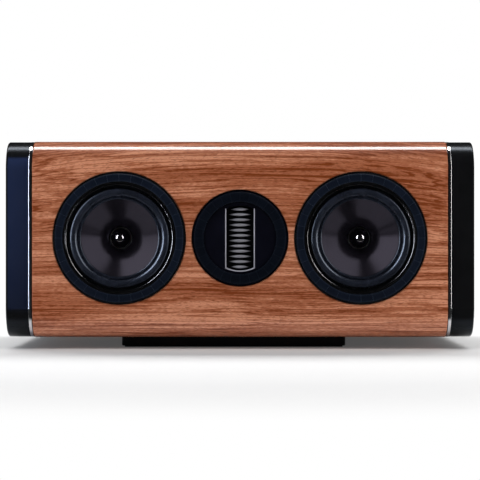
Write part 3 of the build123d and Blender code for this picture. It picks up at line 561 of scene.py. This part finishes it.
def plain_board(name, tone, trace):
    """Bare circuit board: a laminate weave with broad covered tracks."""
    f = Finish(name)
    weave = f.noise(f.point(scale=(1800.0, 1800.0, 200.0)), detail=1.0)
    x, y, _ = f.split(f.point(scale=(90.0, 55.0, 1.0)))
    track = f.soft(x.math("SINE", x + y.math("SINE", y) * 1.6), 0.2, 0.45)
    shade = f.mix(weave * 0.4, opaque(tone), opaque(tone, 0.6))
    shade = f.mix(track * 0.7, shade, opaque(trace))
    return f.surface(
        Base_Color=shade,
        Roughness=0.38 + 0.1 * (weave - 0.5),
        Normal=f.bump(track, distance=0.00004),
    )


def ring_surface(name, centre, radius, depth, steps):
    """Closed profile carried round a driver axis.

    A profile point of radius r and depth d goes to x + r cos a, front + d, z + r sin a for a from 0 to a full turn.
    """
    turn = np.linspace(0.0, 2 * pi, steps, endpoint=False)[:, None]
    count = len(radius)
    points = np.stack(
        [
            centre.x + radius[None, :] * np.cos(turn),
            FRONT_Y + depth[None, :] + 0.0 * turn,
            centre.z + radius[None, :] * np.sin(turn),
        ],
        axis=-1,
    ).reshape(-1, 3)
    row = np.arange(steps)[:, None] * count
    following = np.roll(row, -1, axis=0)
    column = np.arange(count)[None, :]
    beside = np.roll(column, -1, axis=1)
    faces = np.stack([row + column, row + beside, following + beside, following + column], axis=-1).reshape(-1, 4)
    mesh = bpy.data.meshes.new(name)
    mesh.from_pydata(points.tolist(), [], faces.tolist())
    work = bmesh.new()
    work.from_mesh(mesh)
    bmesh.ops.recalc_face_normals(work, faces=work.faces)
    work.to_mesh(mesh)
    work.free()
    mesh.polygons.foreach_set("use_smooth", np.ones(len(mesh.polygons), dtype=bool))
    mesh.set_sharp_from_angle(angle=SHARP_ANGLE)
    piece = bpy.data.objects.new(name, mesh)
    bpy.context.scene.collection.objects.link(piece)
    return piece


def arc(middle, width, level, height, count):
    """Half ellipse from the outer to the inner foot: r = middle + width cos t, h = level + height sin t."""
    t = np.linspace(0.0, pi, count)
    return np.stack([middle + width * np.cos(t), level + height * np.sin(t)], axis=-1)


def surround_profile(s):
    """Flat lip, half roll and bead in front; behind, the same roll one skin further in, back to the lip."""
    high = s.skin
    middle = (s.roll_outer + s.roll_inner) / 2
    half = (s.roll_outer - s.roll_inner) / 2
    bead_outer = s.roll_inner - s.skin
    bead = (bead_outer - s.cone_radius) / 2
    lip = np.stack([np.linspace(s.lip_radius, s.roll_outer, 4)[:-1], np.full(3, high)], axis=-1)
    crown = arc(middle, half, high, s.roll_height, count=29)
    ridge = arc(s.cone_radius + bead, bead, high, s.bead_height, count=13)
    hollow = arc(middle, half - s.skin, 0.0, s.roll_height, count=21)[::-1]
    foot = np.array([[s.cone_radius, 0.0]])
    end = np.array([[s.lip_radius, 0.0]])
    line = np.concatenate([lip, crown, ridge, foot, hollow, end])
    return line[:, 0], s.landing - line[:, 1]


def cone_profile(s):
    """Flat rim, straight run and steeper throat in front, and the same line one paper behind.

    With rim radius R, throat radius t and neck radius n, the depth is slope (R - r), and inside the throat
    rest ((t - r) / (t - n))^2 more, where rest brings the neck to its full depth.
    """
    run = np.linspace(s.cone_radius, s.cone_neck, 49)
    deep = s.cone_slope * (s.cone_radius - run)
    rest = s.cone_depth - deep[-1]
    inside = np.clip((s.cone_throat - run) / (s.cone_throat - s.cone_neck), 0.0, 1.0)
    radius = np.append(s.roll_inner, run)
    depth = s.landing + s.cone_gap + np.append(0.0, deep + rest * inside**2)
    return np.concatenate([radius, radius[::-1]]), np.concatenate([depth, depth[::-1] + s.paper])


def spider_profile(s):
    """Waves h = w (1 - cos(2 pi n u)) / 2 from the bore to the glued flat edge, and back one skin behind."""
    steps_per_wave = 12
    u = np.linspace(0.0, 1.0, steps_per_wave * s.spider_waves + 1)
    radius = s.spider_bore + (s.spider_flat - s.spider_bore) * u
    wave = s.spider_wave * (1.0 - np.cos(2 * pi * s.spider_waves * u)) / 2
    radius = np.append(radius, s.spider_radius)
    wave = np.append(wave, 0.0)
    line = np.concatenate([radius, radius[::-1]])
    height = np.concatenate([wave + s.skin, wave[::-1]])
    return line, s.spider_depth - height


def follow_cone(piece, side, inner, outer):
    """Bake a ring's place into its mesh and work out each point's share of the cone's travel.

    The share falls as a smooth step of the radius from inner to outer. It is not stored, so the ring stays with the
    speaker.
    """
    centre = WOOFER[side]
    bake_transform(piece)
    spots = np.empty(len(piece.data.vertices) * 3, dtype=np.float32)
    piece.data.vertices.foreach_get("co", spots)
    spots = spots.reshape(-1, 3)
    radius = np.hypot(spots[:, 0] - centre.x, spots[:, 2] - centre.z)
    share = np.clip((outer - radius) / (outer - inner), 0.0, 1.0)
    share = share * share * (3 - 2 * share)


class SPEAKER_OT_cabinet(bpy.types.Operator):
    """Veneer, end caps, bright bands, rear panel, plinth and what is inside the cabinet"""

    bl_idname = "speaker.cabinet"
    bl_label = "Finish the cabinet"

    def execute(self, context):
        colours = context.scene.speaker_colours
        dress(walnut(colours), "cabinet_wrap")
        cap = coating(
            "cap_lacquer", colours.cap, scale=700.0, rough=0.22, swing=0.03, tint=0.12, grit=0.000012,
            shine=0.16, glint=(0.66, 0.80, 1.0),
        )
        dress(cap, "left_end_cap", "right_end_cap")
        bright = coating(
            "bright_trim", colours.chrome, scale=400.0, rough=0.10, swing=0.02, tint=0.04, grit=0.0, metal=1.0
        )
        dress(bright, "left_trim_band", "right_trim_band")
        rear = coating(
            "rear_lacquer", colours.black, scale=500.0, rough=0.42, swing=0.06, tint=0.2, grit=0.00003, shine=0.3
        )
        dress(rear, "rear_panel")
        plinth = coating(
            "plinth_lacquer", (0.0036, 0.0034, 0.0042), scale=600.0, rough=0.34, swing=0.05, tint=0.2, grit=0.00002,
            shine=0.08,
        )
        dress(plinth, "plinth")
        pad = coating(
            "pad_rubber", (0.012, 0.012, 0.012), scale=1200.0, rough=0.8, swing=0.1, tint=0.3, grit=0.0001
        )
        dress(pad, "plinth_pad")
        dress(fibre_board("raw_board", (0.36, 0.25, 0.15)), "left_brace", "right_brace")
        dress(cloth("soft_wadding", (0.62, 0.60, 0.55), pitch=0.004), "wadding")
        steel = turned_metal("steel", (0.55, 0.55, 0.57), rough=0.32, centre=ORIGIN, pitch=0.0012)
        dress(steel, "plinth_screws")
        return {"FINISHED"}


class SPEAKER_OT_woofers(bpy.types.Operator):
    """Rings, frames, plugs and motors of both woofers"""

    bl_idname = "speaker.woofers"
    bl_label = "Finish the woofers"

    def execute(self, context):
        colours = context.scene.speaker_colours
        frame_coat = coating(
            "cast_frame", (0.008, 0.008, 0.009), scale=900.0, rough=0.16, swing=0.04, tint=0.2, grit=0.00001, coat=0.6
        )
        ferrite = coating(
            "ferrite", (0.05, 0.05, 0.055), scale=1500.0, rough=0.62, swing=0.12, tint=0.3, grit=0.00006
        )
        plug = coating(
            "plug_gloss", (0.34, 0.33, 0.35), scale=300.0, rough=0.10, swing=0.02, tint=0.1, grit=0.000002, metal=1.0
        )
        coil = wound_wire("copper_wire", COPPER, pitch=0.0006, start=WINDING_START)
        dim_chrome = [0.18 * part for part in colours.chrome]
        for side, centre in WOOFER.items():
            start = side + "_woofer_"
            ring = start + "trim_ring"
            dress(ring_rubber(side + "_ring_rubber", colours, ring, WOOFER_SEGMENTS, WOOFER_RING_WIDTH), ring)
            polished = coating(
                side + "_bright_ring", dim_chrome, scale=200.0, rough=0.18, swing=0.02, tint=0.1, grit=0.0, metal=1.0
            )
            dress(polished, start + "bright_ring")
            steel = turned_metal(side + "_steel", (0.50, 0.50, 0.52), rough=0.34, centre=centre, pitch=0.0016)
            dress(steel, start + "top_plate", start + "yoke")
            dress(frame_coat, start + "basket")
            dress(ferrite, start + "magnet")
            dress(plug, start + "phase_plug")
            dress(coil, start + "voice_coil")
        foam = coating(
            "gasket_foam", (0.02, 0.02, 0.02), scale=2500.0, rough=0.9, swing=0.08, tint=0.4, grit=0.0002
        )
        dress(foam, "woofer_gaskets")
        screw = turned_metal("screw_steel", (0.30, 0.30, 0.31), rough=0.35, centre=ORIGIN, pitch=0.001)
        dress(screw, "woofer_screws", "tweeter_screws")
        return {"FINISHED"}


class SPEAKER_OT_surrounds(bpy.types.Operator):
    """Rubber surrounds round the cones"""

    bl_idname = "speaker.surrounds"
    bl_label = "Make the surrounds"

    def execute(self, context):
        sizes = context.scene.speaker_sizes
        radius, depth = surround_profile(sizes)
        for side, centre in WOOFER.items():
            piece = ring_surface(side + "_surround", centre, radius, depth, sizes.turns)
            rubber = surround_rubber(side + "_surround_rubber", context.scene.speaker_colours, centre)
            piece.data.materials.append(rubber)
            follow_cone(piece, side, sizes.roll_inner, sizes.roll_outer)
            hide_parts(side + "_woofer_surround")
        return {"FINISHED"}


class SPEAKER_OT_cones(bpy.types.Operator):
    """Woven cones with a straight run and a steeper throat"""

    bl_idname = "speaker.cones"
    bl_label = "Make the cones"

    def execute(self, context):
        sizes = context.scene.speaker_sizes
        radius, depth = cone_profile(sizes)
        for side, centre in WOOFER.items():
            piece = ring_surface(side + "_woven_cone", centre, radius, depth, sizes.turns)
            weave = cone_weave(side + "_cone_weave", context.scene.speaker_colours, sizes.weave, centre)
            piece.data.materials.append(weave)
            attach(piece, side + "_cone")
            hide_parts(side + "_woofer_cone")
        return {"FINISHED"}


class SPEAKER_OT_spiders(bpy.types.Operator):
    """Corrugated cloth rings that centre the voice coils"""

    bl_idname = "speaker.spiders"
    bl_label = "Make the spiders"

    def execute(self, context):
        sizes = context.scene.speaker_sizes
        radius, depth = spider_profile(sizes)
        weave = cloth("spider_cloth", (0.42, 0.24, 0.08), pitch=0.0011)
        for side, centre in WOOFER.items():
            piece = ring_surface(side + "_spider", centre, radius, depth, sizes.turns // 2)
            piece.data.materials.append(weave)
            follow_cone(piece, side, sizes.spider_bore, sizes.spider_flat)
            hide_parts(side + "_woofer_spider")
        return {"FINISHED"}


class SPEAKER_OT_tweeter(bpy.types.Operator):
    """Ring, faceplate, bezel and pleated film of the tweeter, with what is behind them"""

    bl_idname = "speaker.tweeter"
    bl_label = "Finish the tweeter"

    def execute(self, context):
        colours = context.scene.speaker_colours
        ring = "tweeter_trim_ring"
        rubber = ring_rubber("tweeter_ring_rubber", colours, ring, TWEETER_SEGMENTS, TWEETER_RING_WIDTH, share=0.55)
        dress(rubber, ring)
        plate = coating(
            "faceplate_satin", (0.0028, 0.0030, 0.0075), scale=900.0, rough=0.40, swing=0.05, tint=0.15, grit=0.00001,
            shine=0.12,
        )
        dress(plate, "tweeter_faceplate")
        bezel = coating(
            "bezel_bright", (0.36, 0.36, 0.41), scale=500.0, rough=0.5, swing=0.04, tint=0.05, grit=0.000004, shine=0.1
        )
        dress(bezel, "tweeter_bezel")
        dress(pleated_film("foil_film", colours), "tweeter_diaphragm")
        steel = turned_metal("tweeter_steel", (0.48, 0.48, 0.50), rough=0.36, centre=TWEETER, pitch=0.0012)
        dress(steel, "tweeter_housing", "tweeter_pole_plate")
        ferrite = coating(
            "bar_ferrite", (0.03, 0.03, 0.033), scale=1500.0, rough=0.55, swing=0.1, tint=0.3, grit=0.00005
        )
        dress(ferrite, "tweeter_magnets")
        chamber = coating(
            "chamber_black", colours.black, scale=700.0, rough=0.5, swing=0.08, tint=0.25, grit=0.00004
        )
        dress(chamber, "tweeter_rear_chamber")
        return {"FINISHED"}


class SPEAKER_OT_rear(bpy.types.Operator):
    """Ports, terminal plate and binding posts"""

    bl_idname = "speaker.rear"
    bl_label = "Finish the rear"

    def execute(self, context):
        colours = context.scene.speaker_colours
        moulded = coating(
            "moulded_black", (0.0075, 0.0075, 0.0080), scale=1100.0, rough=0.46, swing=0.07, tint=0.2, grit=0.00006
        )
        dress(moulded, "left_port_tube", "right_port_tube", "terminal_plate")
        for post, tone in (("red", colours.red), ("black", (0.008, 0.008, 0.008))):
            knob = coating(
                post + "_knob", tone, scale=500.0, rough=0.22, swing=0.04, tint=0.1, grit=0.000006, coat=0.7
            )
            dress(knob, post + "_post_knob")
            stud = post + "_post_stud"
            gold = turned_metal(post + "_gold_plate", colours.gold, rough=0.20, centre=middle_of(stud), pitch=0.0008)
            dress(gold, stud)
        steel = turned_metal(
            "terminal_steel", (0.42, 0.42, 0.44), rough=0.30, centre=middle_of("terminal_screws"), pitch=0.0010
        )
        dress(steel, "terminal_screws", "post_nuts")
        return {"FINISHED"}


class SPEAKER_OT_crossover(bpy.types.Operator):
    """Board, coils, capacitors and resistors inside the cabinet"""

    bl_idname = "speaker.crossover"
    bl_label = "Finish the crossover"

    def execute(self, context):
        dress(plain_board("board_green", (0.05, 0.18, 0.07), trace=(0.10, 0.27, 0.11)), "crossover_board")
        standoff = coating(
            "standoff_black", (0.02, 0.02, 0.02), scale=900.0, rough=0.5, swing=0.08, tint=0.2, grit=0.00004
        )
        dress(standoff, "crossover_standoffs")
        dress(wound_wire("coil_copper", COPPER, pitch=0.0011), "crossover_inductors")
        film = coating(
            "capacitor_film", (0.50, 0.08, 0.05), scale=600.0, rough=0.30, swing=0.06, tint=0.1, grit=0.00002, coat=0.3
        )
        dress(film, "crossover_capacitors")
        ceramic = coating(
            "resistor_ceramic", (0.70, 0.68, 0.62), scale=1600.0, rough=0.8, swing=0.1, tint=0.12, grit=0.0001
        )
        dress(ceramic, "crossover_resistors")
        return {"FINISHED"}


def floor_finish(glow):
    """White table near the cabinet that keeps the shadow, running out into plain white for the camera.

    Reflections show the lit table close by and dark further off; matt light only sees a white surface.
    """
    f = Tree(bpy.data.materials.new("studio_floor"))
    f.tree.nodes.clear()
    spot = f.node("ShaderNodeTexCoord", out="Object")
    away = f.node("ShaderNodeVectorMath", {"operation": "LENGTH"}, {0: spot}, "Value")
    far = f.soft(away, 0.62, 0.95)
    ahead = f.split(spot)[1] * -1.0
    near = (1.0 - f.soft(ahead, 0.165, 0.195)) * (1.0 - far)
    camera, glossy, through = f.rays("Camera", "Glossy", "Transmission")

    def matt(tone):
        return f.node("ShaderNodeBsdfDiffuse", None, {"Color": (tone, tone, tone, 1.0)})

    def glowing(strength):
        return f.node("ShaderNodeEmission", None, {"Color": opaque(WHITE), "Strength": strength})

    seen = f.node("ShaderNodeAddShader", None, {0: matt(0.60), 1: glowing(glow)})
    seen = f.either(far, seen, glowing(1.0))
    bounce = matt(0.86)
    mirrored = f.either(glossy, bounce, f.either(near, glowing(0.02), bounce))
    both = f.either(camera.math("MAXIMUM", camera, through), mirrored, seen)
    f.node("ShaderNodeOutputMaterial", None, {"Surface": both})
    return f.owner


def room(context, strength):
    """White behind everything for the camera, a dim even room for matt light, a dark one in reflections."""
    world = bpy.data.worlds.new("studio_room")
    f = Tree(world)
    f.tree.nodes.clear()
    camera, glossy, through = f.rays("Camera", "Glossy", "Transmission")

    def backdrop(level):
        return f.node("ShaderNodeBackground", None, {"Color": opaque(WHITE), "Strength": level})

    lit = f.either(glossy, backdrop(strength), backdrop(strength * 0.3))
    both = f.either(camera.math("MAXIMUM", camera, through), lit, backdrop(1.0))
    f.node("ShaderNodeOutputWorld", None, {"Surface": both})
    context.scene.world = world


def white_floor(context, glow):
    """Flat square of two by two faces round the origin, a hair below Z = 0."""
    side = np.linspace(-FLOOR_REACH, FLOOR_REACH, 3)
    x, y = np.meshgrid(side, side)
    spots = np.stack([x, y, np.full_like(x, -FLOOR_DROP)], axis=-1).reshape(-1, 3)
    corner = np.array([0, 1, 3, 4])[:, None] + np.array([0, 1, 4, 3])[None, :]
    mesh = bpy.data.meshes.new("studio_floor")
    mesh.from_pydata(spots.tolist(), [], corner.tolist())
    mesh.materials.append(floor_finish(glow))
    floor = bpy.data.objects.new("studio_floor", mesh)
    context.scene.collection.objects.link(floor)


def box_light(context, name, place, aim, size, brightness, tint=WHITE, matt=True, gloss=True, only=()):
    """Rectangular light of an even brightness, turned from its place to its aim; it may light only some pieces."""
    lamp = bpy.data.lights.new(name, "AREA")
    lamp.shape = "RECTANGLE"
    lamp.size, lamp.size_y = size
    lamp.color = tint
    lamp.energy = brightness * pi * size[0] * size[1]
    light = bpy.data.objects.new(name, lamp)
    light.location = place
    light.rotation_euler = (Vector(aim) - Vector(place)).to_track_quat("-Z", "Y").to_euler()
    light.visible_camera = False
    light.visible_diffuse = matt
    light.visible_glossy = gloss
    if only:
        lit = bpy.data.collections.new(name + "_lights")
        for piece in only:
            lit.objects.link(piece)
        light.light_linking.receiver_collection = lit
    context.scene.collection.objects.link(light)


def table_card(context, name, x, y, size, brightness, **options):
    """Light that lies on the table and shines up."""
    box_light(context, name, (x, y, CARD_LIFT), (x, y, 1.0), size, brightness, **options)


def beside(sign, height):
    """Place of a side light: sign is -1 on the left and 1 on the right."""
    return (sign * LAMP_DISTANCE * sin(SIDE_ANGLE), FRONT_Y - LAMP_DISTANCE * cos(SIDE_ANGLE), height)


def light_everything(context, s):
    """A strip overhead for reflections, and matt light from the top, the rear and both sides."""
    box_light(
        context, "overhead_strip", place=(0.0, 0.09, 1.60), aim=(0.0, 0.09, 0.0), size=(2.6, 0.42),
        brightness=s.strip, matt=False,
    )
    box_light(
        context, "front_top_box", place=(0.0, -0.75, 1.40), aim=FRONT_MIDDLE, size=(2.0, 0.8),
        brightness=s.top, gloss=False,
    )
    box_light(
        context, "rear_top_box", place=(0.0, 0.75, 1.50), aim=ORIGIN, size=(4.2, 0.7),
        brightness=s.back, gloss=False,
    )
    for name, sign, brightness, tint in (("left_box", -1, s.left, COOL), ("right_box", 1, s.right, WARM)):
        box_light(context, name, beside(sign, 0.24), FRONT_MIDDLE, (0.92, 0.86), brightness, tint, gloss=False)


def light_shiny(context, s):
    """Tall strips at both sides, seen in the surrounds, plugs, bright rings, baskets and trim bands."""
    shiny = [bpy.data.objects[side + "_surround"] for side in WOOFER]
    for side in WOOFER:
        shiny += [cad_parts[side + "_woofer_" + part] for part in ("phase_plug", "bright_ring", "basket")]
        shiny.append(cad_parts[side + "_trim_band"])
    level = 0.75
    aim = (0.0, FRONT_Y, level)
    for name, sign, brightness, tint in (
        ("left_tall", -1, s.left_tall, COOL),
        ("right_tall", 1, s.right_tall, WARM),
    ):
        box_light(context, name, beside(sign, level), aim, (0.60, 1.70), brightness, tint, matt=False, only=shiny)


def light_cones(context, s):
    """Fans of light in the cones: a raised panel at each side, and cards on the table with gaps ahead of the woofers.

    A ray from the camera leaves the straight run of a cone at twice the angle of its slope, so the panels stand there.
    """
    cones = [bpy.data.objects[side + "_woven_cone"] for side in WOOFER]
    lean = 2 * atan(context.scene.speaker_sizes.cone_slope)
    for name, sign, brightness in (("left_panel", -1, s.left_panel), ("right_panel", 1, s.right_panel)):
        way = Vector((sign * sin(lean) * cos(PANEL_RISE), -cos(lean), sin(lean) * sin(PANEL_RISE)))
        place = Vector(FRONT_MIDDLE) + LAMP_DISTANCE * way
        box_light(context, name, place, FRONT_MIDDLE, (0.8, 2.4), brightness, VIOLET, matt=False, only=cones)
    gap, width, depth = 0.04, 0.8, 0.32
    left_lane = WOOFER["left"].x
    right_lane = WOOFER["right"].x + 0.07
    for name, low, high in (
        ("left_table_card", left_lane - gap - width, left_lane - gap),
        ("middle_table_card", left_lane + gap, right_lane - gap),
        ("right_table_card", right_lane + gap, right_lane + gap + width),
    ):
        table_card(
            context, name, (low + high) / 2, FRONT_Y - 0.19, (high - low, depth), s.table_cards,
            tint=VIOLET, matt=False, only=cones,
        )


def light_wood_and_caps(context, s):
    """A low card that lifts the lower edge of the wood, and a tall blue one in the lacquer of the end caps."""
    table_card(
        context, "wood_card", 0.0, FRONT_Y - 0.03, (0.52, 0.06), s.wood_card,
        gloss=False, only=[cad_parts["cabinet_wrap"]],
    )
    box_light(
        context, "blue_card", place=(-0.67, FRONT_Y - 2.0, 0.20), aim=FRONT_MIDDLE, size=(0.26, 4.8),
        brightness=s.card, tint=BLUE, matt=False, only=[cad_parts[side + "_end_cap"] for side in WOOFER],
    )


def photo_camera(context, s):
    """Level camera straight in front."""
    eye = bpy.data.cameras.new("photo_camera")
    eye.sensor_fit = "HORIZONTAL"
    eye.sensor_width = 36.0
    eye.lens = s.lens
    camera = bpy.data.objects.new("photo_camera", eye)
    camera.location = (s.side, FRONT_Y - s.distance, s.height)
    camera.rotation_euler = (radians(90), 0.0, 0.0)
    context.scene.collection.objects.link(camera)
    context.scene.camera = camera


class SPEAKER_OT_studio(bpy.types.Operator):
    """White floor, dim room, softboxes and the camera"""

    bl_idname = "speaker.studio"
    bl_label = "Set the studio"

    def execute(self, context):
        s = context.scene.speaker_studio
        white_floor(context, s.floor_glow)
        room(context, s.room)
        light_everything(context, s)
        light_shiny(context, s)
        light_cones(context, s)
        light_wood_and_caps(context, s)
        photo_camera(context, s)
        context.scene.view_settings.view_transform = "Standard"
        return {"FINISHED"}


STEPS = (
    SPEAKER_OT_cabinet,
    SPEAKER_OT_woofers,
    SPEAKER_OT_surrounds,
    SPEAKER_OT_cones,
    SPEAKER_OT_spiders,
    SPEAKER_OT_tweeter,
    SPEAKER_OT_rear,
    SPEAKER_OT_crossover,
    SPEAKER_OT_studio,
)


class SPEAKER_PT_panel(bpy.types.Panel):
    """Settings and steps of the speaker"""

    bl_idname = "SPEAKER_PT_panel"
    bl_label = "Center channel speaker"
    bl_space_type = "VIEW_3D"
    bl_region_type = "UI"
    bl_category = "Speaker"

    def draw(self, context):
        for group in (context.scene.speaker_colours, context.scene.speaker_sizes, context.scene.speaker_studio):
            column = self.layout.column(align=True)
            for name in group.bl_rna.properties.keys():
                if name not in ("rna_type", "name"):
                    column.prop(group, name)
        for step in STEPS:
            self.layout.operator(step.bl_idname)


GROUPS = {
    "speaker_colours": SpeakerColours,
    "speaker_sizes": SpeakerSizes,
    "speaker_studio": StudioSettings,
}


def register():
    """Add the settings, steps and panel to Blender."""
    for group in GROUPS.values():
        bpy.utils.register_class(group)
    for name, group in GROUPS.items():
        setattr(bpy.types.Scene, name, PointerProperty(type=group))
    for step in STEPS + (SPEAKER_PT_panel,):
        bpy.utils.register_class(step)


def unregister():
    """Take them out again."""
    for step in reversed(STEPS + (SPEAKER_PT_panel,)):
        bpy.utils.unregister_class(step)
    for name, group in GROUPS.items():
        delattr(bpy.types.Scene, name)
        bpy.utils.unregister_class(group)


def main():
    """Register the add-on and run every step in order."""
    register()
    bpy.ops.speaker.cabinet()
    bpy.ops.speaker.woofers()
    bpy.ops.speaker.surrounds()
    bpy.ops.speaker.cones()
    bpy.ops.speaker.spiders()
    bpy.ops.speaker.tweeter()
    bpy.ops.speaker.rear()
    bpy.ops.speaker.crossover()
    bpy.ops.speaker.studio()


if __name__ == "__main__":
    main()
